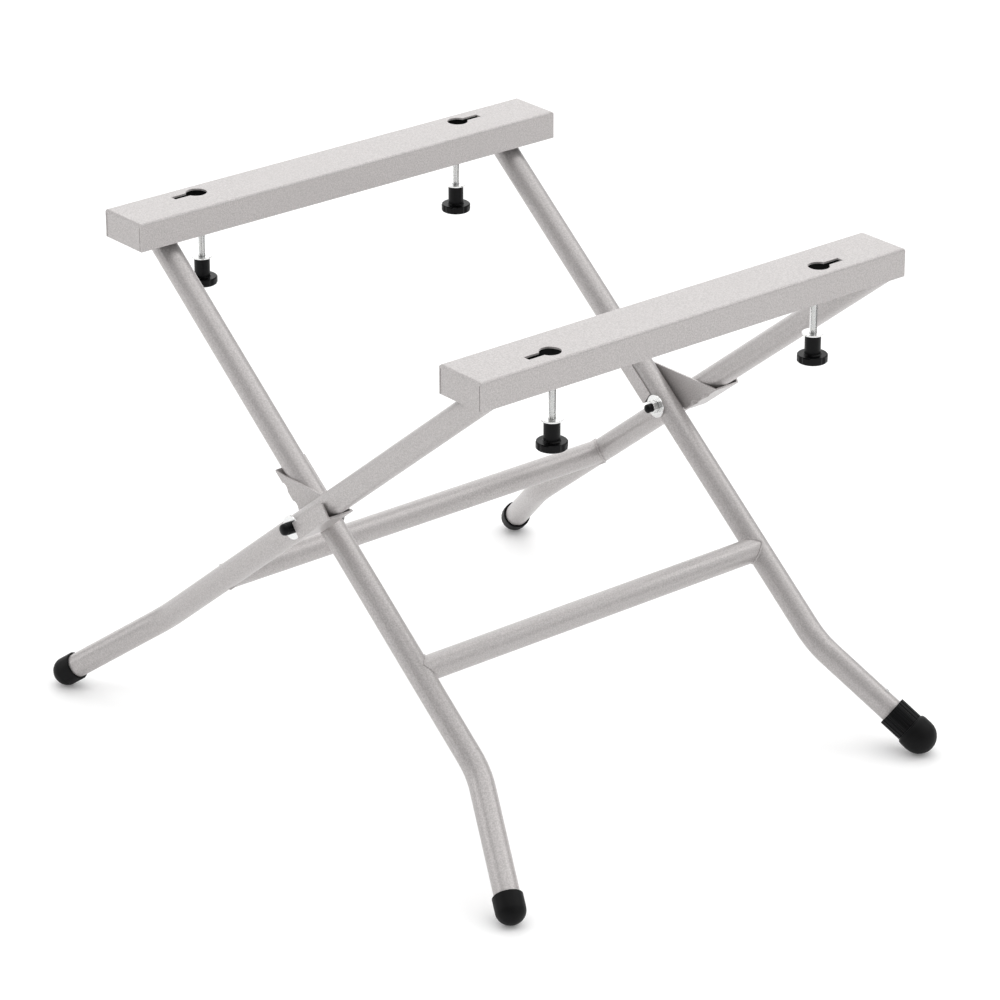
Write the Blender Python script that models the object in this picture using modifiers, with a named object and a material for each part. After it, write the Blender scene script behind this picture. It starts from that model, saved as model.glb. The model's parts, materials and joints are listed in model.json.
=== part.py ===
"""Folding stand for a bench saw: two channel rails carried by two crossed tube frames.

Units are metres. +X runs across the stand from one rail to the other, +Y runs along the rails and +Z
is up. The origin is on the floor, under the middle of the pivot axis. "front" is -Y, "left" is -X.
The inner frame carries the left rail and the outer frame carries the right one.
"""

import math

import bmesh
import bpy
from mathutils import Matrix, Vector

# Overall sizes
STAND_HEIGHT = 0.585
PIVOT_HEIGHT = 0.3153
GAP = 0.0003

# Rails: sheet channels, open underneath, with a flap folded down at each end
RAIL_LENGTH = 0.585
RAIL_WIDTH = 0.066
RAIL_DEPTH = 0.032
RAIL_SPACING = 0.5776
RAIL_SHEET = 0.002
RAIL_FOLD_RADIUS = 0.003
FLAP_SEAM = 0.0008
FLAP_SEAM_TOP = 0.004

# Keyholes in the rails
KEYHOLE_INSET = 0.107
KEYHOLE_OFFSET = 0.0119
KEYHOLE_RADIUS = 0.0118
KEYHOLE_SLOT_WIDTH = 0.0085
KEYHOLE_SLOT_REACH = 0.0311

# Legs and crossbars
TUBE_RADIUS = 0.014
TUBE_WALL = 0.0015
LEG_OFFSET = 0.0092
LEG_INSET = 0.0025
BEND_HEIGHT = 0.1103
BEND_RADIUS = 0.11
INNER_SPLAY = 0.586
OUTER_SPLAY = 0.641
INNER_CROSSBAR_REACH = 0.2013
OUTER_CROSSBAR_REACH = 0.186

# Foot caps, and the adjustable foot on the inner rear leg
CAP_WALL = 0.0026
CAP_DOME_FLATNESS = 0.0012
CAP_SLEEVE = 0.017
CAP_SEAT = 0.001
CAP_LIP = 0.0008
FOOT_OVERHANG = 0.0063
FOOT_SHOULDER = 0.0135
FOOT_SOCKET = 0.008
COLLAR_WALL = 0.0038
COLLAR_LENGTH = 0.027
COLLAR_FLOOR = 0.006
COLLAR_RIBS = 20
COLLAR_RIB_DEPTH = 0.0009
RIB_STARTS = 0.22
RIB_RISES = 0.38
RIB_ENDS = 0.84
STUD_RADIUS = 0.005
STUD_LENGTH = 0.044
PLUG_LENGTH = 0.045
RIVET_RADIUS = 0.0026
RIVET_HEAD = 0.0009
RIVET_SHANK_RADIUS = 0.00156
RIVET_SHANK_LENGTH = 0.006
RIVET_ABOVE_COLLAR = 0.0192
RIVET_TURN = math.radians(10.0)

# Stop brackets between the legs at the pivot
BRACKET_SHEET = 0.002
BRACKET_CLEARANCE = 0.0004
BRACKET_FOLD_RADIUS = 0.003
BRACKET_TOP = 0.0345
BRACKET_LIP = 0.003
INNER_HOOK_START = 0.0145
OUTER_HOOK_START = 0.009
HOOK_END = 0.075
PLATE_BOSS_SETBACK = 0.0014
PLATE_BOSS_ANGLES = (215, 250, 290, 325)
PLATE_SETBACK = 0.003
DIMPLE_RADIUS = 0.0085
DIMPLE_DEPTH = 0.0045
DIMPLE_PLACES = (0.0285, 0.052)

# Pivot bolts
BOLT_RADIUS = 0.004
BOLT_HEAD_STEP = 0.0013
BOLT_HEAD_LENGTH = 0.006
BOLT_CORNER = 0.0012
HEAD_CAP_WALL = 0.001
HEAD_CAP_LENGTH = 0.0126
HEAD_CAP_GROOVE = 0.0007
HEAD_CAP_SKIRT_STEP = 0.0002
END_CAP_WALL = 0.0007
END_CAP_LENGTH = 0.007
BOLT_END_LENGTH = 0.004
PIVOT_WASHER_RADIUS = 0.0135
PIVOT_WASHER_THICKNESS = 0.0015
NUT_ACROSS_FLATS = 0.013
NUT_HEIGHT = 0.0065

# Clamping screws under the rails; a drop is measured down from the top of the rail
CLAMP_INSET = 0.111
CLAMP_OFFSET = 0.0106
CLAMP_TIP_DROP = 0.012
CLAMP_NECK_DROP = 0.0765
CLAMP_HEAD_DROP = 0.0988
CLAMP_BOTTOM_DROP = 0.1073
CLAMP_NECK_WALL = 0.0045
CLAMP_HEAD_RADIUS = 0.0168
CLAMP_HEAD_CORNER = 0.0011
CLAMP_SOCKET_DEPTH = 0.02
KNOB_LOBES = 8
LOBE_CUT_RADIUS = 0.0045
LOBE_CUT_DEPTH = 0.0013
CLAMP_WASHER_RADIUS = 0.012
CLAMP_WASHER_THICKNESS = 0.0018
BRIDGE_DROP = 0.0265
BRIDGE_THICKNESS = 0.003
BRIDGE_LENGTH = 0.026

# Facets round a turned piece
TUBE_SIDES = 24
ROUND_SIDES = 24
SMALL_SIDES = 18
TINY_SIDES = 12

# How far cutters run past what they cut, and where the tops of the legs are trimmed
CUT = 0.002
CUT_FAR = 0.02
LEG_OVERRUN = 0.04
TRIM_DROP = 0.06
TRIM_REACH = 0.5
CROSSBAR_END = 0.002

RAIL_X = RAIL_SPACING / 2
RAIL_UNDERSIDE = STAND_HEIGHT - RAIL_DEPTH
KEYHOLE_X = RAIL_X + KEYHOLE_OFFSET
CLAMP_X = RAIL_X + CLAMP_OFFSET
KEYHOLE_Y = RAIL_LENGTH / 2 - KEYHOLE_INSET
CLAMP_Y = RAIL_LENGTH / 2 - CLAMP_INSET
OUTER_LEG_Y = RAIL_LENGTH / 2 - RAIL_SHEET - LEG_INSET - TUBE_RADIUS
INNER_LEG_Y = OUTER_LEG_Y - BRACKET_SHEET - (TUBE_RADIUS + BRACKET_CLEARANCE) * 2
CAP_RADIUS = TUBE_RADIUS + CAP_WALL
CAP_DOME = CAP_RADIUS - CAP_DOME_FLATNESS
FOOT_RADIUS = TUBE_RADIUS + FOOT_OVERHANG
COLLAR_RADIUS = TUBE_RADIUS + COLLAR_WALL
PLATE_BOSS_RADIUS = TUBE_RADIUS - PLATE_BOSS_SETBACK
HOLE_RADIUS = BOLT_RADIUS + GAP
BOLT_HEAD_RADIUS = BOLT_RADIUS + BOLT_HEAD_STEP
HEAD_CAP_RADIUS = BOLT_HEAD_RADIUS + GAP + HEAD_CAP_WALL
HEAD_CAP_SKIRT_RADIUS = HEAD_CAP_RADIUS + HEAD_CAP_SKIRT_STEP
END_CAP_RADIUS = HOLE_RADIUS + END_CAP_WALL
CLAMP_NECK_RADIUS = HOLE_RADIUS + CLAMP_NECK_WALL
LEAN = (RAIL_X + LEG_OFFSET) / (RAIL_UNDERSIDE - PIVOT_HEIGHT)
PIVOT = Vector((0.0, 0.0, PIVOT_HEIGHT))
PLATE_Y = (INNER_LEG_Y + OUTER_LEG_Y) / 2
ENDS = (("front", -1), ("rear", 1))


def new_collection(name):
    collection = bpy.data.collections.new(name)
    bpy.context.scene.collection.children.link(collection)
    return collection


def clear_scene():
    for obj in list(bpy.data.objects):
        bpy.data.objects.remove(obj, do_unlink=True)


clear_scene()
PARTS = new_collection("saw_stand")
CUTTERS = new_collection("cutters")
CUTTERS.hide_render = True


def make_material(name, color, roughness, metallic):
    material = bpy.data.materials.new(name)
    material.use_nodes = True
    shader = material.node_tree.nodes["Principled BSDF"]
    shader.inputs["Base Color"].default_value = (*color, 1.0)
    shader.inputs["Roughness"].default_value = roughness
    shader.inputs["Metallic"].default_value = metallic
    material.diffuse_color = (*color, 1.0)
    return material


PAINT = make_material("frame_paint", (0.72, 0.71, 0.70), 0.45, 0.0)
ZINC = make_material("zinc_steel", (0.78, 0.79, 0.80), 0.3, 1.0)
PLASTIC = make_material("black_plastic", (0.02, 0.02, 0.022), 0.4, 0.0)
RUBBER = make_material("black_rubber", (0.025, 0.025, 0.028), 0.6, 0.0)


def link(obj, collection, material=None):
    collection.objects.link(obj)
    if collection is CUTTERS:
        obj.hide_render = True
        obj.display_type = "WIRE"
    if material:
        obj.data.materials.append(material)
    return obj


def shade(mesh, angle=35.0):
    mesh.shade_smooth()
    mesh.set_sharp_from_angle(angle=math.radians(angle))


def mesh_of(obj):
    """The evaluated mesh of an object, with the loose caps of a curve welded on."""
    bpy.context.view_layer.update()
    graph = bpy.context.evaluated_depsgraph_get()
    mesh = bpy.data.meshes.new_from_object(obj.evaluated_get(graph))
    work = bmesh.new()
    work.from_mesh(mesh)
    bmesh.ops.remove_doubles(work, verts=work.verts, dist=1e-6)
    bmesh.ops.recalc_face_normals(work, faces=work.faces)
    work.to_mesh(mesh)
    work.free()
    return mesh


def curve_to_mesh(curve_object, name, collection, material):
    mesh = mesh_of(curve_object)
    mesh.name = name
    mesh.materials.clear()
    obj = bpy.data.objects.new(name, mesh)
    obj.matrix_world = curve_object.matrix_world
    bpy.data.objects.remove(curve_object, do_unlink=True)
    link(obj, collection, material)
    return obj


def pointing(direction, location):
    """A placement whose local +Z lies along the direction."""
    turn = Vector(direction).normalized().to_track_quat("Z", "Y").to_matrix().to_4x4()
    return Matrix.Translation(location) @ turn


def cylinder(name, radius, start, end, sides=ROUND_SIDES, collection=CUTTERS, material=None):
    """A closed cylinder between two points."""
    start, end = Vector(start), Vector(end)
    mesh = bpy.data.meshes.new(name)
    work = bmesh.new()
    bmesh.ops.create_cone(work, cap_ends=True, segments=sides, radius1=radius, radius2=radius,
                          depth=(end - start).length)
    work.to_mesh(mesh)
    work.free()
    shade(mesh)
    obj = link(bpy.data.objects.new(name, mesh), collection, material)
    obj.matrix_world = pointing(end - start, (start + end) / 2)
    return obj


def box(name, low, high, collection=CUTTERS, material=None):
    """A box between two opposite corners."""
    low, high = Vector(low), Vector(high)
    mesh = bpy.data.meshes.new(name)
    work = bmesh.new()
    bmesh.ops.create_cube(work, size=1.0, matrix=Matrix.Diagonal((*(high - low), 1.0)))
    work.to_mesh(mesh)
    work.free()
    obj = link(bpy.data.objects.new(name, mesh), collection, material)
    obj.location = (low + high) / 2
    return obj


def turned(name, profile, location, direction, material, sides=ROUND_SIDES, closed=False,
           collection=PARTS):
    """A solid of revolution about local Z. The profile runs down its outer side, top to bottom."""
    mesh = bpy.data.meshes.new(name)
    work = bmesh.new()
    points = [work.verts.new((radius, 0.0, height)) for radius, height in profile]
    for first, second in zip(points, points[1:]):
        work.edges.new((first, second))
    if closed:
        work.edges.new((points[-1], points[0]))
    work.to_mesh(mesh)
    work.free()
    obj = link(bpy.data.objects.new(name, mesh), collection, material)
    screw = obj.modifiers.new("turn", "SCREW")
    screw.axis = "Z"
    screw.steps = sides
    screw.render_steps = sides
    screw.use_merge_vertices = True
    screw.merge_threshold = 0.00002
    screw.use_smooth_shade = True
    obj.matrix_world = pointing(direction, location)
    return obj


def ring(name, inner, outer, thickness, location, direction, material, sides=ROUND_SIDES):
    """A flat washer standing on its location."""
    profile = [(inner, 0.0), (inner, thickness), (outer, thickness), (outer, 0.0)]
    return turned(name, profile, location, direction, material, sides, closed=True)


def flat_outline(name, outlines, thickness, placement, collection=CUTTERS, material=None):
    """A flat piece from closed outlines in local XY; an outline inside another is a hole."""
    curve = bpy.data.curves.new(name, "CURVE")
    curve.dimensions = "2D"
    curve.fill_mode = "BOTH"
    curve.extrude = thickness / 2
    for outline in outlines:
        spline = curve.splines.new("POLY")
        spline.points.add(len(outline) - 1)
        for point, (x, y) in zip(spline.points, outline):
            point.co = (x, y, 0.0, 1.0)
        spline.use_cyclic_u = True
    obj = bpy.data.objects.new(name + "_outline", curve)
    bpy.context.scene.collection.objects.link(obj)
    obj.matrix_world = placement
    return curve_to_mesh(obj, name, collection, material)


def round_bar(name, points, radius, collection=PARTS, material=None):
    """A solid bar along a path of points."""
    curve = bpy.data.curves.new(name, "CURVE")
    curve.dimensions = "3D"
    curve.bevel_depth = radius
    curve.bevel_resolution = (TUBE_SIDES - 4) // 2
    curve.use_fill_caps = True
    spline = curve.splines.new("POLY")
    spline.points.add(len(points) - 1)
    for point, place in zip(spline.points, points):
        point.co = (*place, 1.0)
    obj = bpy.data.objects.new(name + "_path", curve)
    bpy.context.scene.collection.objects.link(obj)
    obj = curve_to_mesh(obj, name, collection, material)
    shade(obj.data)
    return obj


def boolean(target, other, operation="DIFFERENCE"):
    modifier = target.modifiers.new(operation.lower() + "_" + other.name, "BOOLEAN")
    modifier.operation = operation
    modifier.solver = "EXACT"
    modifier.object = other


def parent_to(empty, objects):
    bpy.context.view_layer.update()
    for obj in objects:
        obj.parent = empty
        obj.matrix_parent_inverse = empty.matrix_world.inverted()


def empty_at(name, location, direction=(0, 0, 1)):
    empty = bpy.data.objects.new(name, None)
    PARTS.objects.link(empty)
    empty.empty_display_size = 0.02
    empty.matrix_world = pointing(direction, location)
    return empty


def circle(radius, sides, turn=0.0):
    step = 2 * math.pi / sides
    return [(radius * math.cos(turn + i * step), radius * math.sin(turn + i * step)) for i in range(sides)]


def corner_arc(centre, radius, start, end, steps=3):
    """Points round a corner, with the angles in degrees."""
    angles = [math.radians(start + (end - start) * i / steps) for i in range(steps + 1)]
    return [(centre[0] + radius * math.cos(a), centre[1] + radius * math.sin(a)) for a in angles]


def filleted(start, corner, end, radius, steps=6):
    """A path from start to end, rounded at the corner."""
    back = (start - corner).normalized()
    ahead = (end - corner).normalized()
    half = back.angle(ahead) / 2
    centre = corner + (back + ahead).normalized() * radius / math.sin(half)
    first = corner + back * radius / math.tan(half)
    last = corner + ahead * radius / math.tan(half)
    arms = (first - centre), (last - centre)
    arc = [centre + arms[0].slerp(arms[1], i / steps) * radius for i in range(steps + 1)]
    return [start, *arc, end]


def up_the_leg(side):
    """Unit vector up a leg. The inner frame's legs lean to side -1, the outer frame's to +1."""
    return Vector((side * LEAN, 0.0, 1.0)).normalized()


def across_the_leg(side):
    """Unit vector square to a leg in its own plane, upwards."""
    return Vector((-side, 0.0, LEAN)).normalized()


def leg_bend(side, y):
    return Vector((-side * LEAN * (PIVOT_HEIGHT - BEND_HEIGHT), y, BEND_HEIGHT))


def foot_direction(side, end, splay):
    return Vector((-side * LEAN, end * splay, -1.0)).normalized()


def foot_centre(side, end, y, splay, radius, depth):
    """Centre of a round foot that touches the floor, from its radius and how deep its dome is."""
    direction = foot_direction(side, end, splay)
    height = math.hypot(depth * direction.z, radius * math.hypot(direction.x, direction.y))
    return leg_bend(side, end * y) + direction * (BEND_HEIGHT - height) / -direction.z


def channel_limits(side):
    """Cutters for what a leg may not reach inside its rail: beyond the outer wall, and above the web."""
    wall = RAIL_X + RAIL_WIDTH / 2 - RAIL_SHEET - GAP
    web = STAND_HEIGHT - RAIL_SHEET - GAP
    across = sorted((side * wall, side * (wall + TRIM_REACH)))
    beyond = box(f"beyond_wall_{side}", (across[0], -TRIM_REACH, RAIL_UNDERSIDE - TRIM_DROP),
                 (across[1], TRIM_REACH, STAND_HEIGHT + TRIM_REACH))
    above = box(f"above_web_{side}", (-TRIM_REACH * 2, -TRIM_REACH, web),
                (TRIM_REACH * 2, TRIM_REACH, STAND_HEIGHT + TRIM_REACH))
    return beyond, above


def leg(name, side, end, y, splay, tube_end, limits):
    """A hollow leg from inside its rail, past the pivot and round its bend to the tube's lower end."""
    length = (STAND_HEIGHT - PIVOT_HEIGHT + LEG_OVERRUN) * math.hypot(LEAN, 1.0)
    top = PIVOT + Vector((0, end * y, 0)) + up_the_leg(side) * length
    bend = leg_bend(side, end * y)
    direction = foot_direction(side, end, splay)
    tube = round_bar(name, filleted(top, bend, tube_end, BEND_RADIUS), TUBE_RADIUS, PARTS, PAINT)
    above = top + up_the_leg(side) * CUT_FAR
    below = tube_end + direction * CUT_FAR
    lumen = round_bar(name + "_lumen", filleted(above, bend, below, BEND_RADIUS),
                      TUBE_RADIUS - TUBE_WALL, CUTTERS)
    boolean(tube, lumen)
    for limit in limits:
        boolean(tube, limit)
    middle = PIVOT + Vector((0, end * y, 0))
    across = Vector((0, TUBE_RADIUS * 2, 0))
    boolean(tube, cylinder(name + "_bolt_hole", HOLE_RADIUS, middle - across, middle + across, SMALL_SIDES))
    return tube


def crossbar(name, side, y, reach):
    """A hollow bar between the two legs of a frame, with its ends shaped to their round sides."""
    centre = PIVOT - up_the_leg(side) * reach
    half = Vector((0, y - CROSSBAR_END, 0))
    bar = round_bar(name, [centre - half, centre + half], TUBE_RADIUS, PARTS, PAINT)
    longer = Vector((0, y + CUT_FAR, 0))
    boolean(bar, round_bar(name + "_lumen", [centre - longer, centre + longer],
                           TUBE_RADIUS - TUBE_WALL, CUTTERS))
    for end in (-1, 1):
        at_leg = centre + Vector((0, end * y, 0))
        along = up_the_leg(side) * TUBE_RADIUS * 3
        boolean(bar, round_bar(f"{name}_saddle_{end}", [at_leg - along, at_leg + along],
                               TUBE_RADIUS + GAP, CUTTERS))
    return bar


def keyhole(target, name, x, end):
    """A round hole with a narrow slot towards the end of the rail."""
    y = end * KEYHOLE_Y
    low = STAND_HEIGHT - RAIL_SHEET * 5
    high = STAND_HEIGHT + RAIL_SHEET * 5
    boolean(target, cylinder(name + "_hole", KEYHOLE_RADIUS, (x, y, low), (x, y, high)))
    reach = sorted((y, y + end * KEYHOLE_SLOT_REACH))
    half = KEYHOLE_SLOT_WIDTH / 2
    slot = box(name + "_slot", (x - half, reach[0], low - CUT), (x + half, reach[1], high + CUT))
    boolean(target, slot)


def rail(name, side):
    """A folded sheet channel, open underneath, with keyholes in its web and seams beside its end flaps."""
    x = side * RAIL_X
    mesh = bpy.data.meshes.new(name)
    work = bmesh.new()
    size = Matrix.Diagonal((RAIL_WIDTH, RAIL_LENGTH, RAIL_DEPTH, 1.0))
    bmesh.ops.create_cube(work, size=1.0, matrix=size)
    top = RAIL_DEPTH / 2 - 1e-6
    folds = [edge for edge in work.edges if all(vert.co.z > top for vert in edge.verts)]
    bmesh.ops.bevel(work, geom=folds, offset=RAIL_FOLD_RADIUS, segments=3, profile=0.5, affect="EDGES")
    floor = [face for face in work.faces if all(vert.co.z < -top for vert in face.verts)]
    bmesh.ops.delete(work, geom=floor, context="FACES_ONLY")
    work.to_mesh(mesh)
    work.free()
    obj = link(bpy.data.objects.new(name, mesh), PARTS, PAINT)
    obj.location = (x, 0.0, STAND_HEIGHT - RAIL_DEPTH / 2)
    wall = obj.modifiers.new("sheet", "SOLIDIFY")
    wall.thickness = RAIL_SHEET
    wall.offset = -1.0
    wall.use_even_offset = True
    for end in (-1, 1):
        keyhole(obj, f"{name}_{end}", side * KEYHOLE_X, end)
        flap = sorted((end * (RAIL_LENGTH / 2 - RAIL_SHEET - GAP), end * (RAIL_LENGTH / 2 + CUT)))
        for edge in (-1, 1):
            beside = x + edge * (RAIL_WIDTH / 2 - RAIL_SHEET - FLAP_SEAM / 2)
            low = (beside - FLAP_SEAM / 2, flap[0], RAIL_UNDERSIDE - CUT)
            high = (beside + FLAP_SEAM / 2, flap[1], STAND_HEIGHT - FLAP_SEAM_TOP)
            boolean(obj, box(f"{name}_seam_{end}_{edge}", low, high))
    return obj


def dome(radius, depth, steps=7):
    """Profile of a round end, from its rim down to the axis."""
    points = [(radius * math.cos(math.pi / 2 * i / steps), -depth * math.sin(math.pi / 2 * i / steps))
              for i in range(steps)]
    return [*points, (0.0, -depth)]


def foot_cap(name, centre, direction):
    """A rubber cap with a round end, pushed over the end of a leg."""
    bore = TUBE_RADIUS + GAP
    rim = CAP_SLEEVE
    profile = [(0.0, CAP_SEAT), (bore, CAP_SEAT), (bore, rim - CAP_LIP), (bore + CAP_LIP / 2, rim),
               (CAP_RADIUS - CAP_LIP, rim), (CAP_RADIUS, rim - CAP_LIP), *dome(CAP_RADIUS, CAP_DOME)]
    cap = turned(name, profile, centre, -direction, RUBBER)
    return cap, centre - direction * (CAP_SEAT + GAP)


def ribbed_outline():
    """The ribbed outside of the collar."""
    points = []
    valley = COLLAR_RADIUS - COLLAR_RIB_DEPTH
    for rib in range(COLLAR_RIBS):
        for share, radius in ((0.0, valley), (RIB_STARTS, valley), (RIB_RISES, COLLAR_RADIUS),
                              (RIB_ENDS, COLLAR_RADIUS)):
            angle = 2 * math.pi * (rib + share) / COLLAR_RIBS
            points.append((radius * math.cos(angle), radius * math.sin(angle)))
    return points


def adjustable_foot(centre, direction):
    """A screwed foot: a rubber end, a ribbed collar that turns its stud, and a threaded plug in the leg."""
    up = -direction
    hole = STUD_RADIUS + GAP
    profile = [(0.0, FOOT_SHOULDER - FOOT_SOCKET), (hole, FOOT_SHOULDER - FOOT_SOCKET), (hole, FOOT_SHOULDER),
               (FOOT_RADIUS - 0.0025, FOOT_SHOULDER), (FOOT_RADIUS - 0.0006, FOOT_SHOULDER - 0.002),
               (FOOT_RADIUS, FOOT_SHOULDER - 0.006), *dome(FOOT_RADIUS, FOOT_RADIUS)]
    pad = turned("foot_pad", profile, centre, up, RUBBER)

    collar_low = centre + up * (FOOT_SHOULDER + GAP)
    collar_middle = collar_low + up * COLLAR_LENGTH / 2
    placement = pointing(up, collar_middle)
    collar = flat_outline("foot_collar", [ribbed_outline(), circle(hole, SMALL_SIDES)],
                          COLLAR_LENGTH, placement, PARTS, PLASTIC)
    collar_top = collar_low + up * COLLAR_LENGTH
    boolean(collar, cylinder("collar_bore", TUBE_RADIUS + GAP, collar_low + up * COLLAR_FLOOR,
                             collar_top + up * CUT))
    tube_end = collar_low + up * (COLLAR_FLOOR + GAP * 2)

    stud_low = centre + up * (FOOT_SHOULDER - FOOT_SOCKET + GAP)
    stud_high = stud_low + up * STUD_LENGTH
    stud = cylinder("foot_stud", STUD_RADIUS, stud_low, stud_high, SMALL_SIDES, PARTS, ZINC)

    outside = TUBE_RADIUS - TUBE_WALL - GAP * 2
    plug_profile = [(hole, 0.0), (hole, PLUG_LENGTH), (outside, PLUG_LENGTH), (outside, 0.0)]
    plug = turned("foot_plug", plug_profile, tube_end + up * GAP, up, PLASTIC, TUBE_SIDES, closed=True)
    return pad, collar, stud, plug, tube_end, collar_top


def plug_rivet(tube, plug, collar_top, direction):
    """A small rivet that holds the plug in the tube, just above the collar."""
    up = -direction
    facing = Vector((0, 0, 1)).cross(up).normalized().cross(-up).normalized()
    outwards = (Matrix.Rotation(RIVET_TURN, 3, up) @ facing).normalized()
    if outwards.z < 0:
        outwards = -outwards
    foot = collar_top + up * RIVET_ABOVE_COLLAR
    surface = foot + outwards * TUBE_RADIUS
    end = -RIVET_SHANK_LENGTH
    profile = [(0.0, RIVET_HEAD), (RIVET_RADIUS * 0.7, RIVET_HEAD * 0.75), (RIVET_RADIUS, 0.0),
               (RIVET_SHANK_RADIUS, 0.0), (RIVET_SHANK_RADIUS, end), (0.0, end)]
    rivet = turned("foot_rivet", profile, surface + outwards * GAP, outwards, ZINC, TINY_SIDES)
    hole = cylinder("rivet_hole", RIVET_SHANK_RADIUS + GAP, surface - outwards * (RIVET_SHANK_LENGTH + 0.001),
                    surface + outwards * CUT, TINY_SIDES)
    boolean(tube, hole)
    boolean(plug, hole)
    return rivet


def hook_outline(width):
    """Section of a bracket's hook: down from the plate, under the leg and up past its far side."""
    low = -(TUBE_RADIUS + BRACKET_CLEARANCE + BRACKET_SHEET)
    inner = BRACKET_FOLD_RADIUS - BRACKET_SHEET
    stub = low + BRACKET_FOLD_RADIUS + GAP * 3
    taper = GAP / 3
    outer = BRACKET_FOLD_RADIUS
    near = (outer, low + outer)
    far = (width - outer, low + outer)
    outside = [*corner_arc(near, outer, 180, 270), *corner_arc(far, outer, 270, 360)]
    inside = [*corner_arc(far, inner, 360, 270), *corner_arc(near, inner, 270, 180)]
    lip = [(width, BRACKET_LIP), (width - BRACKET_SHEET, BRACKET_LIP)]
    return [(taper, stub), *outside, *lip, *inside, (BRACKET_SHEET - taper, stub)]


def hook(name, side, first_y, outward, width, start):
    """One hook of the rear bracket, along the upper part of a leg."""
    along = up_the_leg(side)
    axes = (Vector((0, outward, 0)), across_the_leg(side), along)
    turn = Matrix(axes).transposed().to_4x4()
    middle = PIVOT + Vector((0, first_y, 0)) + along * (start + HOOK_END) / 2
    return flat_outline(name, [hook_outline(width)], HOOK_END - start, Matrix.Translation(middle) @ turn)


def in_the_plane(side, along, across):
    place = up_the_leg(side) * along + across_the_leg(side) * across
    return place.x, place.z


def plate_outline():
    """The flat web between the legs: level on top, and down to the pivot between the two hooks."""
    fold = GAP - (TUBE_RADIUS + BRACKET_CLEARANCE + BRACKET_SHEET - BRACKET_FOLD_RADIUS)
    reach = (BRACKET_TOP + GAP - fold * across_the_leg(1).z) / up_the_leg(1).z
    angles = [math.radians(angle) for angle in PLATE_BOSS_ANGLES]
    below = [(PLATE_BOSS_RADIUS * math.cos(angle), PLATE_BOSS_RADIUS * math.sin(angle)) for angle in angles]
    return [in_the_plane(-1, reach, fold), in_the_plane(-1, INNER_HOOK_START + GAP, fold), *below,
            in_the_plane(1, OUTER_HOOK_START + PLATE_SETBACK, fold), in_the_plane(1, reach, fold)]


def dimple(bracket, name, side, corner_y, inward_y, along):
    """A round dimple pressed into a fold, which stiffens it."""
    low = TUBE_RADIUS + BRACKET_CLEARANCE + BRACKET_SHEET
    up = across_the_leg(side)
    corner = PIVOT + Vector((0, corner_y, 0)) + up_the_leg(side) * along - up * low
    inwards = (Vector((0, inward_y, 0)) + up).normalized()
    centre = corner - inwards * (DIMPLE_RADIUS - DIMPLE_DEPTH)
    balls = []
    for suffix, radius in (("bump", DIMPLE_RADIUS + BRACKET_SHEET), ("press", DIMPLE_RADIUS)):
        mesh = bpy.data.meshes.new(name + suffix)
        work = bmesh.new()
        bmesh.ops.create_uvsphere(work, u_segments=14, v_segments=8, radius=radius)
        work.to_mesh(mesh)
        work.free()
        ball = link(bpy.data.objects.new(name + suffix, mesh), CUTTERS)
        ball.matrix_world = pointing(up_the_leg(side), centre)
        balls.append(ball)
    bump, press = balls
    reach = DIMPLE_RADIUS * 4
    inside = corner + inwards * BRACKET_SHEET / math.sqrt(2)
    room = box(name + "room", (-reach, 0, 0), (reach, reach, reach))
    axes = Matrix((up_the_leg(side), Vector((0, inward_y, 0)), up)).transposed()
    if axes.determinant() < 0:
        axes = Matrix((-up_the_leg(side), Vector((0, inward_y, 0)), up)).transposed()
    shift = Matrix.Translation((0, reach / 2, reach / 2))
    room.matrix_world = Matrix.Translation(inside) @ axes.to_4x4() @ shift
    boolean(bump, room, "INTERSECT")
    boolean(bracket, bump, "UNION")
    boolean(bracket, press)


def stop_brackets():
    """The pressed brackets that stop the frames from spreading: each hooks under both upper legs."""
    inner_face = INNER_LEG_Y + TUBE_RADIUS
    outer_face = OUTER_LEG_Y - TUBE_RADIUS
    plate_low = PLATE_Y - BRACKET_SHEET / 2
    plate_high = PLATE_Y + BRACKET_SHEET / 2
    lean_in = Matrix.Rotation(math.pi / 2, 4, "X")
    bracket = flat_outline("bracket_rear", [plate_outline()], BRACKET_SHEET,
                           Matrix.Translation(PIVOT + Vector((0, PLATE_Y, 0))) @ lean_in, PARTS, PAINT)
    inner_width = plate_high - (INNER_LEG_Y - TUBE_RADIUS - BRACKET_CLEARANCE - BRACKET_SHEET)
    outer_width = OUTER_LEG_Y + TUBE_RADIUS + GAP * 2 + PIVOT_WASHER_THICKNESS + BRACKET_SHEET - plate_low
    boolean(bracket, hook("inner_hook", -1, plate_high, -1, inner_width, INNER_HOOK_START), "UNION")
    boolean(bracket, hook("outer_hook", 1, plate_low, 1, outer_width, OUTER_HOOK_START), "UNION")
    trim = box("bracket_trim", (-TRIM_REACH, inner_face, PIVOT_HEIGHT + BRACKET_TOP),
               (TRIM_REACH, outer_face, PIVOT_HEIGHT + HOOK_END * 2))
    boolean(bracket, trim)
    for i, along in enumerate(DIMPLE_PLACES):
        dimple(bracket, f"inner_dimple_{i}_", -1, plate_high, -1, along)
        dimple(bracket, f"outer_dimple_{i}_", 1, plate_low, 1, along)
    through = Vector((0, BRACKET_SHEET * 5, 0))
    middle = PIVOT + Vector((0, PLATE_Y, 0))
    boolean(bracket, cylinder("bracket_hole", HOLE_RADIUS, middle - through, middle + through, SMALL_SIDES))
    mesh = mesh_of(bracket)
    mesh.transform(Matrix.Scale(-1.0, 4, (0, 1, 0)) @ bracket.matrix_world)
    mesh.flip_normals()
    front = bpy.data.objects.new("bracket_front", mesh)
    link(front, PARTS)
    return [bracket, front]


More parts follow.
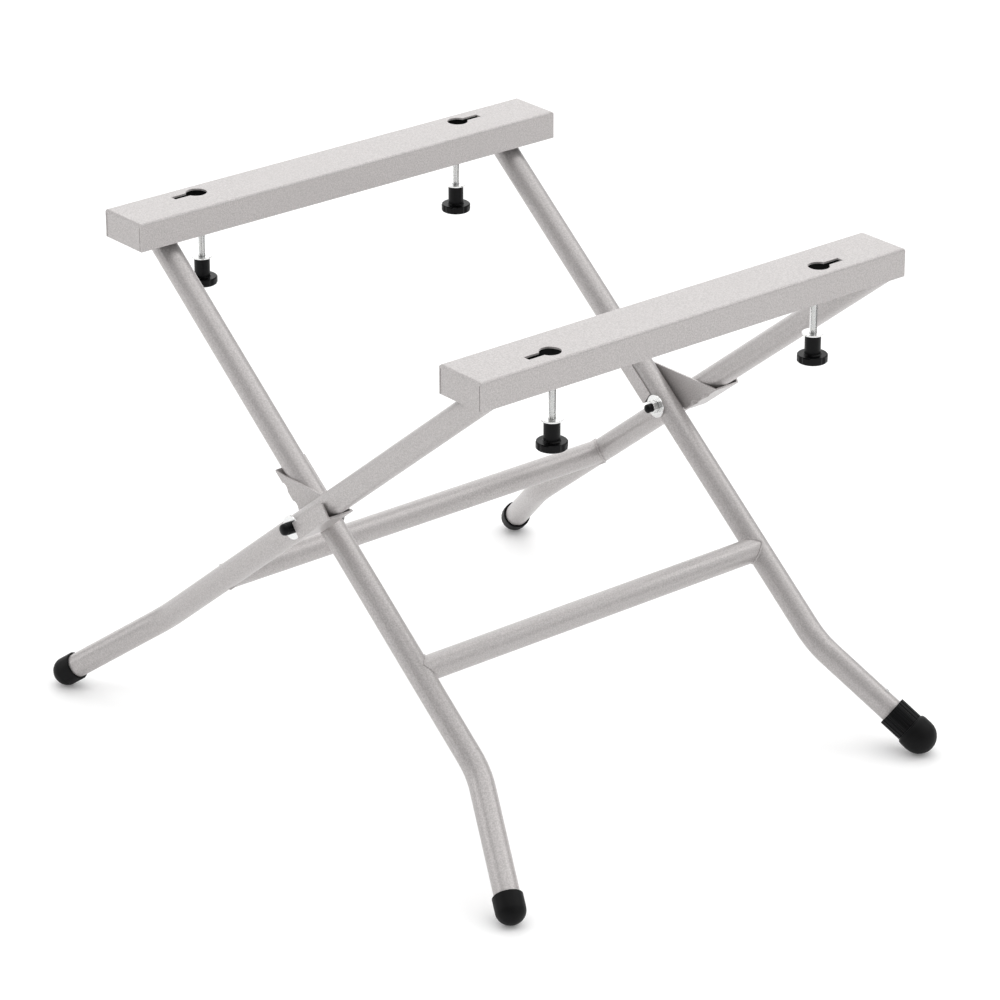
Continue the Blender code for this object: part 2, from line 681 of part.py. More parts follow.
def hexagon_nut(name, placement):
    outlines = [circle(NUT_ACROSS_FLATS / math.sqrt(3), 6), circle(HOLE_RADIUS, SMALL_SIDES)]
    return flat_outline(name, outlines, NUT_HEIGHT, placement, PARTS, ZINC)


def head_cap_profile():
    """Section of the cap on a bolt's head: a domed end, a groove half way down, and a skirt."""
    top = HEAD_CAP_LENGTH
    groove = top / 2
    inside = BOLT_HEAD_RADIUS + GAP
    roof = BOLT_HEAD_LENGTH + GAP
    return [(0.0, top), (HEAD_CAP_RADIUS * 0.55, top - 0.0004), (HEAD_CAP_RADIUS * 0.85, top - 0.0014),
            (HEAD_CAP_RADIUS, top - 0.0036), (HEAD_CAP_RADIUS, groove + HEAD_CAP_GROOVE),
            (HEAD_CAP_RADIUS - HEAD_CAP_GROOVE, groove), (HEAD_CAP_SKIRT_RADIUS, groove - HEAD_CAP_GROOVE),
            (HEAD_CAP_SKIRT_RADIUS, 0.0), (inside, 0.0), (inside, roof - BOLT_CORNER),
            (inside - BOLT_CORNER, roof), (0.0, roof)]


def end_cap_profile(depth):
    """Section of the cap on a bolt's end; depth is how deep its hole is."""
    return [(0.0, END_CAP_LENGTH), (END_CAP_RADIUS * 0.6, END_CAP_LENGTH - 0.0004),
            (END_CAP_RADIUS, END_CAP_LENGTH - 0.002), (END_CAP_RADIUS, 0.0), (HOLE_RADIUS, 0.0),
            (HOLE_RADIUS, depth), (0.0, depth)]


def on_the_pivot(outwards, distance):
    return PIVOT + outwards * distance


def pivot_bolt(tag, end):
    """A bolt through both legs and the bracket, with washers, a nut and a black cap at each end."""
    outwards = Vector((0, end, 0))
    outer_washer = OUTER_LEG_Y + TUBE_RADIUS + GAP
    head = outer_washer + PIVOT_WASHER_THICKNESS + GAP
    inner_washer = INNER_LEG_Y - TUBE_RADIUS - GAP - PIVOT_WASHER_THICKNESS
    nut = inner_washer - GAP - NUT_HEIGHT
    bolt_end = nut - BOLT_END_LENGTH
    top = head + BOLT_HEAD_LENGTH
    profile = [(0.0, top), (BOLT_HEAD_RADIUS - BOLT_CORNER, top), (BOLT_HEAD_RADIUS, top - BOLT_CORNER),
               (BOLT_HEAD_RADIUS, head), (BOLT_RADIUS, head), (BOLT_RADIUS, bolt_end), (0.0, bolt_end)]
    pieces = [turned(f"pivot_bolt_{tag}", profile, PIVOT, outwards, ZINC, SMALL_SIDES)]
    for place, distance in (("outer", outer_washer), ("inner", inner_washer)):
        pieces.append(ring(f"pivot_washer_{place}_{tag}", HOLE_RADIUS, PIVOT_WASHER_RADIUS,
                           PIVOT_WASHER_THICKNESS, on_the_pivot(outwards, distance), outwards, ZINC))
    middle = on_the_pivot(outwards, nut + NUT_HEIGHT / 2)
    pieces.append(hexagon_nut(f"pivot_nut_{tag}", pointing(outwards, middle)))
    pieces.append(turned(f"bolt_head_cap_{tag}", head_cap_profile(), on_the_pivot(outwards, head), outwards,
                         PLASTIC, SMALL_SIDES))
    seat = nut - GAP
    pieces.append(turned(f"bolt_end_cap_{tag}", end_cap_profile(seat - bolt_end + GAP),
                         on_the_pivot(outwards, seat), -outwards, PLASTIC, SMALL_SIDES))
    return pieces


def knob_profile():
    """Section of a clamping knob, from its top down: a bored neck, and a wide head with straight sides."""
    neck = CLAMP_HEAD_DROP - CLAMP_NECK_DROP
    total = CLAMP_BOTTOM_DROP - CLAMP_NECK_DROP
    bore = BOLT_RADIUS + GAP
    depth = CLAMP_SOCKET_DEPTH + GAP
    corner = CLAMP_HEAD_CORNER
    rim = CLAMP_HEAD_RADIUS
    return [(0.0, -depth), (bore, -depth), (bore, 0.0), (CLAMP_NECK_RADIUS - 0.0005, 0.0),
            (CLAMP_NECK_RADIUS, -0.0005), (CLAMP_NECK_RADIUS, corner - neck),
            (CLAMP_NECK_RADIUS + corner, -neck), (rim - corner, -neck), (rim, -neck - corner),
            (rim, corner - total), (rim - corner, -total), (0.0, -total)]


def clamp(tag, side, end):
    """A clamping screw under a keyhole: knob, screw and washer, and the bridge and nut that carry it."""
    x, y = side * CLAMP_X, end * CLAMP_Y
    axis_top = Vector((x, y, STAND_HEIGHT))
    down = Vector((0, 0, -1))
    up = Vector((0, 0, 1))
    length = CLAMP_NECK_DROP + CLAMP_SOCKET_DEPTH - CLAMP_TIP_DROP
    screw_profile = [(0.0, 0.0), (BOLT_RADIUS - BOLT_CORNER, 0.0), (BOLT_RADIUS, -BOLT_CORNER),
                     (BOLT_RADIUS, -length), (0.0, -length)]
    tip = axis_top + down * CLAMP_TIP_DROP
    screw = turned(f"clamp_screw_{tag}", screw_profile, tip, up, ZINC, SMALL_SIDES)

    knob = turned(f"clamp_knob_{tag}", knob_profile(), axis_top + down * CLAMP_NECK_DROP, up, PLASTIC)
    distance = CLAMP_HEAD_RADIUS - LOBE_CUT_DEPTH + LOBE_CUT_RADIUS
    for lobe in range(KNOB_LOBES):
        angle = 2 * math.pi * lobe / KNOB_LOBES
        at = axis_top + Vector((distance * math.cos(angle), distance * math.sin(angle), 0))
        flute_top = at + down * (CLAMP_HEAD_DROP - CUT)
        flute_bottom = at + down * (CLAMP_BOTTOM_DROP + CUT)
        boolean(knob, cylinder(f"flute_{tag}_{lobe}", LOBE_CUT_RADIUS, flute_top, flute_bottom, TINY_SIDES))

    washer = ring(f"clamp_washer_{tag}", HOLE_RADIUS, CLAMP_WASHER_RADIUS, CLAMP_WASHER_THICKNESS,
                  axis_top + down * (CLAMP_NECK_DROP - GAP), up, ZINC)

    inside = RAIL_WIDTH / 2 - RAIL_SHEET - GAP
    bridge_low = STAND_HEIGHT - BRIDGE_DROP - BRIDGE_THICKNESS
    bridge = box(f"clamp_bridge_{tag}", (side * RAIL_X - inside, y - BRIDGE_LENGTH / 2, bridge_low),
                 (side * RAIL_X + inside, y + BRIDGE_LENGTH / 2, STAND_HEIGHT - BRIDGE_DROP), PARTS, PAINT)
    boolean(bridge, cylinder(f"bridge_hole_{tag}", HOLE_RADIUS, (x, y, bridge_low - CUT),
                             (x, y, STAND_HEIGHT - BRIDGE_DROP + CUT), SMALL_SIDES))
    nut_middle = (x, y, STAND_HEIGHT - BRIDGE_DROP + GAP + NUT_HEIGHT / 2)
    nut = hexagon_nut(f"clamp_nut_{tag}", Matrix.Translation(nut_middle))
    parent_to(empty_at(f"clamp_axis_{tag}", axis_top), [screw, knob, washer])
    return [bridge, nut]


def build():
    inner, outer = -1, 1
    inner_limits = channel_limits(inner)
    outer_limits = channel_limits(outer)

    rail("rail_left", inner)
    cap_place = foot_centre(inner, -1, INNER_LEG_Y, INNER_SPLAY, CAP_RADIUS, CAP_DOME)
    tube_end = foot_cap("foot_cap_inner_front", cap_place, foot_direction(inner, -1, INNER_SPLAY))[1]
    leg("leg_inner_front", inner, -1, INNER_LEG_Y, INNER_SPLAY, tube_end, inner_limits)

    foot_place = foot_centre(inner, 1, INNER_LEG_Y, INNER_SPLAY, FOOT_RADIUS, FOOT_RADIUS)
    direction = foot_direction(inner, 1, INNER_SPLAY)
    pad, collar, stud, plug, tube_end, collar_top = adjustable_foot(foot_place, direction)
    rear = leg("leg_inner_rear", inner, 1, INNER_LEG_Y, INNER_SPLAY, tube_end, inner_limits)
    plug_rivet(rear, plug, collar_top, direction)
    parent_to(empty_at("foot_axis", foot_place, direction), [pad, collar, stud])
    crossbar("crossbar_inner", inner, INNER_LEG_Y, INNER_CROSSBAR_REACH)

    folding = [rail("rail_right", outer)]
    for tag, end in ENDS:
        place = foot_centre(outer, end, OUTER_LEG_Y, OUTER_SPLAY, CAP_RADIUS, CAP_DOME)
        cap, tube_end = foot_cap(f"foot_cap_outer_{tag}", place, foot_direction(outer, end, OUTER_SPLAY))
        folding.append(cap)
        folding.append(leg(f"leg_outer_{tag}", outer, end, OUTER_LEG_Y, OUTER_SPLAY, tube_end, outer_limits))
        folding += pivot_bolt(tag, end)
    folding.append(crossbar("crossbar_outer", outer, OUTER_LEG_Y, OUTER_CROSSBAR_REACH))
    folding += stop_brackets()
    for tag, end in ENDS:
        clamp(f"left_{tag}", inner, end)
        folding += clamp(f"right_{tag}", outer, end)
    parent_to(empty_at("fold_axis", PIVOT, (0, 1, 0)), folding)


build()
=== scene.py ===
"""Looks of a folding stand for a bench saw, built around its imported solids.

Metres, +Z up. +X runs across the stand, +Y along its rails, and -Y is the front.
"""

import json
import math

import bpy
from mathutils import Matrix, Vector


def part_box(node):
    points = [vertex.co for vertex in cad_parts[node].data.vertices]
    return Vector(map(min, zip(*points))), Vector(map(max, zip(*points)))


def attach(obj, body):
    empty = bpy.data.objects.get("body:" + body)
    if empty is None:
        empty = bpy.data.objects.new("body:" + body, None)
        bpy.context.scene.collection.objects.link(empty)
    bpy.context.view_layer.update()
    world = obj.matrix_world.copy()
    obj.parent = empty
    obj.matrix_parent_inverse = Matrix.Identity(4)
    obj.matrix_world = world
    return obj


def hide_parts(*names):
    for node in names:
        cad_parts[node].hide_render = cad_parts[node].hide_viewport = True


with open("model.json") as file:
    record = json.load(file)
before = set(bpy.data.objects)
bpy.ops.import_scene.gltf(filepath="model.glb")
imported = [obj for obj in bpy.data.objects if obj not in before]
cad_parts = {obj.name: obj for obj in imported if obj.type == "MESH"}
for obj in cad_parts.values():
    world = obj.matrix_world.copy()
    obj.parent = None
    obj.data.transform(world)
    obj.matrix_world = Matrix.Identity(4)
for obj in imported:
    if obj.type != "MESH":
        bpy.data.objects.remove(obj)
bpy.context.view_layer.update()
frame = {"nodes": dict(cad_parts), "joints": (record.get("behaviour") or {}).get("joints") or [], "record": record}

MM = 0.001
NODES = frame["nodes"]
JOINTS = {joint["name"]: joint for joint in frame["joints"]}
OWNER = {node: body for body, nodes in frame["record"]["behaviour"]["bodies"].items()
         for node in nodes}
SLOTS = {part["node"]: part["material_slot"] for part in frame["record"]["subparts"]}
CORNERS = [f"{side}_{end}" for side in ("left", "right") for end in ("front", "rear")]


# Small helpers

JOIN_WITHIN = 0.01 * MM   # corners of loose triangles this close are one corner
FLAT_WITHIN = 0.5         # degrees between triangles that are one flat face
BROAD_FACE_WEIGHT = 80    # 50 is neutral; above it, broad faces decide their corners' shading


def deselect_all():
    for obj in list(bpy.context.selected_objects):
        obj.select_set(False)


def only(obj):
    deselect_all()
    obj.select_set(True)
    bpy.context.view_layer.objects.active = obj


def apply_modifiers(obj):
    only(obj)
    for modifier in list(obj.modifiers):
        bpy.ops.object.modifier_apply(modifier=modifier.name)


def soft_edges(obj, width, segments=2, angle=40.0):
    """Rounds the edges sharper than the angle, in degrees, as paint, moulding or tumbling does."""
    bevel = obj.modifiers.new("edges", "BEVEL")
    bevel.width = width
    bevel.segments = segments
    bevel.limit_method = "ANGLE"
    bevel.angle_limit = math.radians(angle)
    bevel.use_clamp_overlap = True
    apply_modifiers(obj)


def smooth(obj, angle=35.0):
    """Shades as round what turns by less than the angle, in degrees."""
    only(obj)
    bpy.ops.object.shade_smooth_by_angle(angle=math.radians(angle))


def flat_faces_flat(obj):
    """Keeps broad flat faces evenly lit right up to their rounded edges."""
    shading = obj.modifiers.new("shading", "WEIGHTED_NORMAL")
    shading.keep_sharp = True
    shading.weight = BROAD_FACE_WEIGHT
    apply_modifiers(obj)


def finished_copy(node, width):
    """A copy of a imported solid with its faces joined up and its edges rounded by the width."""
    obj = bpy.data.objects.new(node + "_finish", NODES[node].data.copy())
    bpy.context.scene.collection.objects.link(obj)
    only(obj)
    bpy.ops.object.mode_set(mode="EDIT")
    bpy.ops.mesh.select_all(action="SELECT")
    bpy.ops.mesh.remove_doubles(threshold=JOIN_WITHIN)
    bpy.ops.mesh.dissolve_limited(angle_limit=math.radians(FLAT_WITHIN))
    bpy.ops.object.mode_set(mode="OBJECT")
    if width:
        soft_edges(obj, width)
    smooth(obj)
    flat_faces_flat(obj)
    return obj


def finish(obj, material, node):
    """Gives a piece its material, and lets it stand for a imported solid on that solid's body."""
    obj.data.materials.clear()
    obj.data.materials.append(material)
    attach(obj, OWNER[node])
    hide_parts(node)
    return obj


# Materials

def linear(text):
    """An sRGB hex colour as linear RGBA."""
    parts = [int(text[i:i + 2], 16) / 255 for i in (1, 3, 5)]
    return (*[p / 12.92 if p <= 0.04045 else ((p + 0.055) / 1.055) ** 2.4 for p in parts], 1.0)


def add(tree, kind, inputs=None, **settings):
    """Adds a node. An input is a value, or an output of another node to link."""
    node = tree.nodes.new(kind)
    for name, value in settings.items():
        setattr(node, name, value)
    for name, value in (inputs or {}).items():
        if isinstance(value, bpy.types.NodeSocket):
            tree.links.new(value, node.inputs[name])
        else:
            node.inputs[name].default_value = value
    return node


def start_material(name):
    material = bpy.data.materials.new(name)
    material.use_nodes = True
    tree = material.node_tree
    place = add(tree, "ShaderNodeTexCoord").outputs["Object"]
    return material, tree, tree.nodes["Principled BSDF"], place


def frame_paint():
    """Powder-coated steel in silver grey: a satin coat, finely grained, with a faint orange peel.

    The grain of the powder is about 0.3 mm. It is drawn at 1.6 mm so that it shows from where
    the whole stand is seen.
    """
    material, tree, shader, place = start_material("powder_coated_steel")
    grain_size = 1.6 * MM
    peel_size = 6 * MM
    drift_size = 90 * MM
    relief = 0.1 * MM
    grain = add(tree, "ShaderNodeTexNoise", {
        "Vector": place, "Scale": 1 / grain_size, "Detail": 4.0, "Roughness": 0.75})
    peel = add(tree, "ShaderNodeTexNoise", {
        "Vector": place, "Scale": 1 / peel_size, "Detail": 1.0})
    drift = add(tree, "ShaderNodeTexNoise", {
        "Vector": place, "Scale": 1 / drift_size, "Detail": 2.0})
    fleck = add(tree, "ShaderNodeMapRange", {
        "Value": grain.outputs["Fac"], "From Min": 0.38, "From Max": 0.62})
    shade = add(tree, "ShaderNodeMix", {
        "Factor": fleck.outputs["Result"], "A": linear("#A09C9B"), "B": linear("#C6C2C1"),
    }, data_type="RGBA")
    patch = add(tree, "ShaderNodeMapRange", {"Value": drift.outputs["Fac"], "To Max": 0.5})
    mottled = add(tree, "ShaderNodeMix", {
        "Factor": patch.outputs["Result"], "A": shade.outputs["Result"], "B": linear("#B4B0AF"),
    }, data_type="RGBA")
    tree.links.new(mottled.outputs["Result"], shader.inputs["Base Color"])
    gloss = add(tree, "ShaderNodeMapRange", {
        "Value": grain.outputs["Fac"], "To Min": 0.3, "To Max": 0.42})
    tree.links.new(gloss.outputs["Result"], shader.inputs["Roughness"])
    ripple = add(tree, "ShaderNodeBump", {
        "Height": peel.outputs["Fac"], "Strength": 0.12, "Distance": relief})
    bump = add(tree, "ShaderNodeBump", {
        "Height": grain.outputs["Fac"], "Strength": 0.25, "Distance": relief,
        "Normal": ripple.outputs["Normal"]})
    tree.links.new(bump.outputs["Normal"], shader.inputs["Normal"])
    shader.inputs["IOR"].default_value = 1.5
    shader.inputs["Metallic"].default_value = 0.35
    return material


def painted_channel_shade():
    """Painted shade inside the rails: a dull, blotchy, near-black material that stands in for the shadow in the
    channel.
    """
    material, tree, shader, place = start_material("painted_shade_in_channel")
    blotch_size = 8 * MM
    blotch = add(tree, "ShaderNodeTexNoise", {
        "Vector": place, "Scale": 1 / blotch_size, "Detail": 4.0})
    tint = add(tree, "ShaderNodeMix", {
        "Factor": blotch.outputs["Fac"], "A": linear("#0B0B0C"), "B": linear("#1A1A1A"),
    }, data_type="RGBA")
    tree.links.new(tint.outputs["Result"], shader.inputs["Base Color"])
    shader.inputs["Roughness"].default_value = 0.85
    shader.inputs["Specular IOR Level"].default_value = 0.1
    return material


def zinc_plate():
    """Bright zinc-plated steel: a clean mirror-like grey, slightly clouded by the plating."""
    material, tree, shader, place = start_material("zinc_plated_steel")
    cloud_size = 3 * MM
    cloud = add(tree, "ShaderNodeTexNoise", {
        "Vector": place, "Scale": 1 / cloud_size, "Detail": 4.0})
    tint = add(tree, "ShaderNodeMix", {
        "Factor": cloud.outputs["Fac"], "A": linear("#D2D4D6"), "B": linear("#F0EFEC"),
    }, data_type="RGBA")
    tree.links.new(tint.outputs["Result"], shader.inputs["Base Color"])
    gloss = add(tree, "ShaderNodeMapRange", {
        "Value": cloud.outputs["Fac"], "To Min": 0.12, "To Max": 0.3})
    tree.links.new(gloss.outputs["Result"], shader.inputs["Roughness"])
    shader.inputs["Metallic"].default_value = 1.0
    return material


def black_plastic():
    """Moulded black nylon: near black, satin, with a fine spark-eroded grain."""
    material, tree, shader, place = start_material("moulded_black_nylon")
    grain_size = 0.6 * MM
    relief = 0.04 * MM
    grain = add(tree, "ShaderNodeTexNoise", {
        "Vector": place, "Scale": 1 / grain_size, "Detail": 2.0})
    tint = add(tree, "ShaderNodeMix", {
        "Factor": grain.outputs["Fac"], "A": linear("#030304"), "B": linear("#08080A"),
    }, data_type="RGBA")
    tree.links.new(tint.outputs["Result"], shader.inputs["Base Color"])
    gloss = add(tree, "ShaderNodeMapRange", {
        "Value": grain.outputs["Fac"], "To Min": 0.3, "To Max": 0.42})
    tree.links.new(gloss.outputs["Result"], shader.inputs["Roughness"])
    bump = add(tree, "ShaderNodeBump", {
        "Height": grain.outputs["Fac"], "Strength": 0.25, "Distance": relief})
    tree.links.new(bump.outputs["Normal"], shader.inputs["Normal"])
    shader.inputs["IOR"].default_value = 1.53
    shader.inputs["Specular IOR Level"].default_value = 0.13
    return material


def black_rubber():
    """Moulded black rubber: a duller black with a soft broad sheen and a faint dusty bloom."""
    material, tree, shader, place = start_material("moulded_black_rubber")
    bloom_size = 6 * MM
    grain_size = 0.5 * MM
    relief = 0.04 * MM
    bloom = add(tree, "ShaderNodeTexNoise", {
        "Vector": place, "Scale": 1 / bloom_size, "Detail": 3.0})
    grain = add(tree, "ShaderNodeTexNoise", {
        "Vector": place, "Scale": 1 / grain_size, "Detail": 2.0})
    tint = add(tree, "ShaderNodeMix", {
        "Factor": bloom.outputs["Fac"], "A": linear("#040405"), "B": linear("#0A0A0B"),
    }, data_type="RGBA")
    tree.links.new(tint.outputs["Result"], shader.inputs["Base Color"])
    gloss = add(tree, "ShaderNodeMapRange", {
        "Value": bloom.outputs["Fac"], "To Min": 0.42, "To Max": 0.58})
    tree.links.new(gloss.outputs["Result"], shader.inputs["Roughness"])
    bump = add(tree, "ShaderNodeBump", {
        "Height": grain.outputs["Fac"], "Strength": 0.3, "Distance": relief})
    tree.links.new(bump.outputs["Normal"], shader.inputs["Normal"])
    shader.inputs["IOR"].default_value = 1.52
    shader.inputs["Specular IOR Level"].default_value = 0.13
    return material


# The near-black channel material is painted shade for the inside of the rails.
MATERIALS = {
    "frame_paint": frame_paint(), "zinc_steel": zinc_plate(), "black_plastic": black_plastic(),
    "black_rubber": black_rubber(), "painted_channel_shade": painted_channel_shade()}


def finish_carried_over(replaced):
    """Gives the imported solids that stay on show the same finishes."""
    for name, obj in NODES.items():
        if name not in replaced:
            for slot in obj.material_slots:
                slot.material = MATERIALS[SLOTS[name]]


# Pieces

PIVOT = Vector(JOINTS["fold"]["pos_m"])
TUBE_RADIUS = 14 * MM
SHEET = 2 * MM
LEG_Y = {"inner": 243.2 * MM, "outer": 274.0 * MM}
# How far the edges of a piece are rounded, by how its name begins.
EDGE_WIDTHS = {
    "rail": 0.25 * MM, "bracket": 0.3 * MM, "clamp_knob": 0.8 * MM, "foot_collar": 0.25 * MM,
    "foot_cap": 0.0, "foot_pad": 0.0, "leg": 0.0, "crossbar": 0.0, "pivot_washer": 0.2 * MM,
    "clamp_washer": 0.2 * MM, "bolt_head_cap": 0.0, "bolt_end_cap": 0.0, "clamp_nut": 0.3 * MM,
    "pivot_nut": 0.3 * MM, "clamp_bridge": 0.3 * MM, "pivot_bolt": 0.0}

SCREW_RADIUS = 4 * MM
SCREW_PITCH = 1.25 * MM
THREAD_DEPTH = 0.6 * SCREW_PITCH
# One turn of the thread's outline: (outwards in thread depths, upwards in pitches) for each step.
THREAD_OUTLINE = ((1, 0.42), (0, 0.13), (-1, 0.42), (0, 0.03))
THREAD_STEPS = 20

WELD_SIZE = 1.5 * MM
WELD_STEP = 5             # degrees between the bead's rings
WELD_LOW_POINT = 0.8      # least height of the bead over the leg's middle, in weld sizes
WELD_RIPPLE_EVERY = 3     # rings from one ripple of the weld to the next
WELD_RIPPLE = 0.18 * MM

RIVET_RADIUS = 2.6 * MM
RIVET_HEIGHT = 1.1 * MM
RIVET_DOME = 0.12         # rise of the head's middle, in rivet heights
RIVET_RIM = 0.5           # width of the head's slope, in rivet radii
RIVET_HOLLOW_WALL = 0.04  # slope of the stem hole's wall, in rivet radii
RIVET_HOLLOW = 0.8        # depth of the stem hole, in rivet heights
RIVET_EDGE = 0.2 * MM
RIVET_SINK = 0.1 * MM     # how far the head is let into the tube


def middle_of(node):
    low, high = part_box(node)
    return (Vector(low) + Vector(high)) / 2


def put_in_place(obj, location, turn):
    """Turns and moves a piece, and puts its place in its mesh."""
    obj.matrix_world = Matrix.Translation(location) @ turn.to_4x4()
    only(obj)
    bpy.ops.object.transform_apply(location=True, rotation=True, scale=True)


def turn_to(direction):
    """The turn that points a piece's Z axis in a direction."""
    return Vector(direction).normalized().to_track_quat("Z", "Y").to_matrix()


def paint_channel_shade(rail):
    """Gives the inner faces of a rail a near-black material, as painted shade for the inside of the channel."""
    rail.data.materials.append(MATERIALS["painted_channel_shade"])
    low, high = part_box(rail.name.removesuffix("_finish"))
    skin = 0.6 * SHEET    # past the middle of the sheet
    for face in rail.data.polygons:
        if all(low[i] + skin < face.center[i] < high[i] - skin for i in range(3)):
            face.material_index = 1


def pick(obj, kind, test):
    """Selects, in edit mode, the vertices or polygons that pass the test, and nothing else."""
    bpy.ops.object.mode_set(mode="OBJECT")
    bpy.context.tool_settings.mesh_select_mode = (kind == "vertices", False, kind == "polygons")
    for name in ("vertices", "edges", "polygons"):
        parts = getattr(obj.data, name)
        parts.foreach_set("select", [name == kind and test(part) for part in parts])
    bpy.ops.object.mode_set(mode="EDIT")


def face_outwards():
    """Turns all faces of the mesh in edit mode outwards, and leaves edit mode."""
    bpy.ops.mesh.select_all(action="SELECT")
    bpy.ops.mesh.normals_make_consistent(inside=False)
    bpy.ops.object.mode_set(mode="OBJECT")


def copy_of(obj, name):
    twin = bpy.data.objects.new(name, obj.data.copy())
    bpy.context.scene.collection.objects.link(twin)
    return twin


def threaded_rod(length):
    """A rod with a rolled thread, standing on the origin.

    The thread's outline goes up one pitch, and the outline is then screwed up the rod's axis.
    """
    bpy.ops.mesh.primitive_plane_add(size=SCREW_RADIUS)
    rod = bpy.context.object
    bpy.ops.object.mode_set(mode="EDIT")
    bpy.ops.mesh.select_all(action="SELECT")
    bpy.ops.mesh.merge(type="CENTER")
    bpy.ops.transform.translate(value=(SCREW_RADIUS - THREAD_DEPTH, 0, 0))
    for outwards, upwards in THREAD_OUTLINE:
        bpy.ops.mesh.extrude_vertices_move(TRANSFORM_OT_translate={
            "value": (outwards * THREAD_DEPTH, 0, upwards * SCREW_PITCH)})
    bpy.ops.object.mode_set(mode="OBJECT")
    thread = rod.modifiers.new("thread", "SCREW")
    thread.steps = THREAD_STEPS
    thread.render_steps = THREAD_STEPS
    thread.screw_offset = SCREW_PITCH
    thread.iterations = round(length / SCREW_PITCH) - 1
    thread.use_merge_vertices = True
    thread.merge_threshold = 0.005 * MM
    apply_modifiers(rod)
    bpy.ops.object.mode_set(mode="EDIT")
    bpy.ops.mesh.select_all(action="SELECT")
    bpy.ops.mesh.fill_holes(sides=0)
    face_outwards()
    smooth(rod, 50)
    return rod


def clamp_screws():
    """The four clamping screws, each with its thread."""
    low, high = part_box(f"clamp_screw_{CORNERS[0]}")
    pattern = threaded_rod(high[2] - low[2])
    for corner in CORNERS:
        node = f"clamp_screw_{corner}"
        middle = middle_of(node)
        rod = copy_of(pattern, node + "_thread")
        put_in_place(rod, (middle.x, middle.y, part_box(node)[0][2]), turn_to((0, 0, 1)))
        finish(rod, MATERIALS["zinc_steel"], node)
    bpy.data.objects.remove(pattern)


def weld_bead():
    """A fillet of weld round the end of a crossbar, lying in the hollow between it and the leg."""
    bpy.ops.mesh.primitive_torus_add(
        major_segments=360 // WELD_STEP, minor_segments=12, major_radius=TUBE_RADIUS,
        minor_radius=WELD_SIZE)
    bead = bpy.context.object
    for turn in range(0, 91, WELD_STEP):
        pick(bead, "vertices", lambda vertex: turn == round(
            math.degrees(math.atan2(abs(vertex.co.y), abs(vertex.co.x)))))
        rise = math.hypot(TUBE_RADIUS * math.sin(math.radians(turn)), WELD_SIZE * WELD_LOW_POINT)
        bpy.ops.transform.translate(value=(0, 0, rise))
    pick(bead, "vertices", lambda vertex: 0 == round(
        math.degrees(math.atan2(vertex.co.y, vertex.co.x))) % (WELD_STEP * WELD_RIPPLE_EVERY))
    bpy.ops.transform.shrink_fatten(value=WELD_RIPPLE)
    face_outwards()
    smooth(bead, 70)
    return bead


def crossbar_welds():
    """The four weld beads where the crossbars meet the legs."""
    pattern = weld_bead()
    for kind, leg_y in LEG_Y.items():
        middle = middle_of(f"crossbar_{kind}")
        along = (PIVOT - middle).normalized()
        for end, side in (("front", -1), ("rear", 1)):
            inwards = Vector((0, -side, 0))
            turn = Matrix((along.cross(inwards), along, inwards)).transposed()
            bead = copy_of(pattern, f"weld_{kind}_{end}")
            put_in_place(bead, (middle.x, side * leg_y, middle.z), turn)
            bead.data.materials.append(MATERIALS["frame_paint"])
            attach(bead, f"{kind}_frame")
    bpy.data.objects.remove(pattern)


def blind_rivet():
    """A blind rivet in the leg: a low head with the hollow of its drawn stem in the middle."""
    axis = Vector(JOINTS["foot_level"]["axis"])
    head = middle_of("foot_rivet")
    on_axis = middle_of("foot_stud")
    out = head - on_axis
    out = (out - axis * out.dot(axis)).normalized()
    bpy.ops.mesh.primitive_cylinder_add(vertices=32, radius=RIVET_RADIUS, depth=RIVET_HEIGHT)
    rivet = bpy.context.object
    rivet.name = "foot_rivet_head"
    pick(rivet, "polygons", lambda face: face.normal.z > 0.9)
    bpy.ops.mesh.inset(thickness=RIVET_RADIUS * RIVET_RIM, depth=RIVET_HEIGHT * RIVET_DOME)
    bpy.ops.mesh.inset(thickness=RIVET_RADIUS * RIVET_HOLLOW_WALL,
                       depth=-RIVET_HEIGHT * RIVET_HOLLOW)
    bpy.ops.object.mode_set(mode="OBJECT")
    soft_edges(rivet, RIVET_EDGE, segments=3, angle=25.0)
    smooth(rivet, 50)
    along = axis * (head - on_axis).dot(axis)
    outwards = out * (TUBE_RADIUS + RIVET_HEIGHT / 2 - RIVET_SINK)
    put_in_place(rivet, on_axis + along + outwards, turn_to(out))
    finish(rivet, MATERIALS["zinc_steel"], "foot_rivet")


def finish_all():
    done = ["foot_rivet", *(f"clamp_screw_{corner}" for corner in CORNERS)]
    for name in NODES:
        width = next((EDGE_WIDTHS[start] for start in EDGE_WIDTHS if name.startswith(start)), None)
        if width is None:
            continue
        piece = finish(finished_copy(name, width), MATERIALS[SLOTS[name]], name)
        # The inner faces of each rail get painted shade.
        if name.startswith("rail"):
            paint_channel_shade(piece)
        done.append(name)
    clamp_screws()
    crossbar_welds()
    blind_rivet()
    finish_carried_over(done)


# Camera, light and floor

AZIMUTH = math.radians(50.267)
ELEVATION = math.radians(24.168)
CAMERA_DISTANCE = 4.6405
LENS = 155.21
SENSOR = 36.0
AIM = Vector((0.0, 0.0, 0.585))
AIM_SHIFT = (-0.0007, -0.2926)    # rightwards and upwards as the camera sees it

WORLD_STRENGTH = 0.48
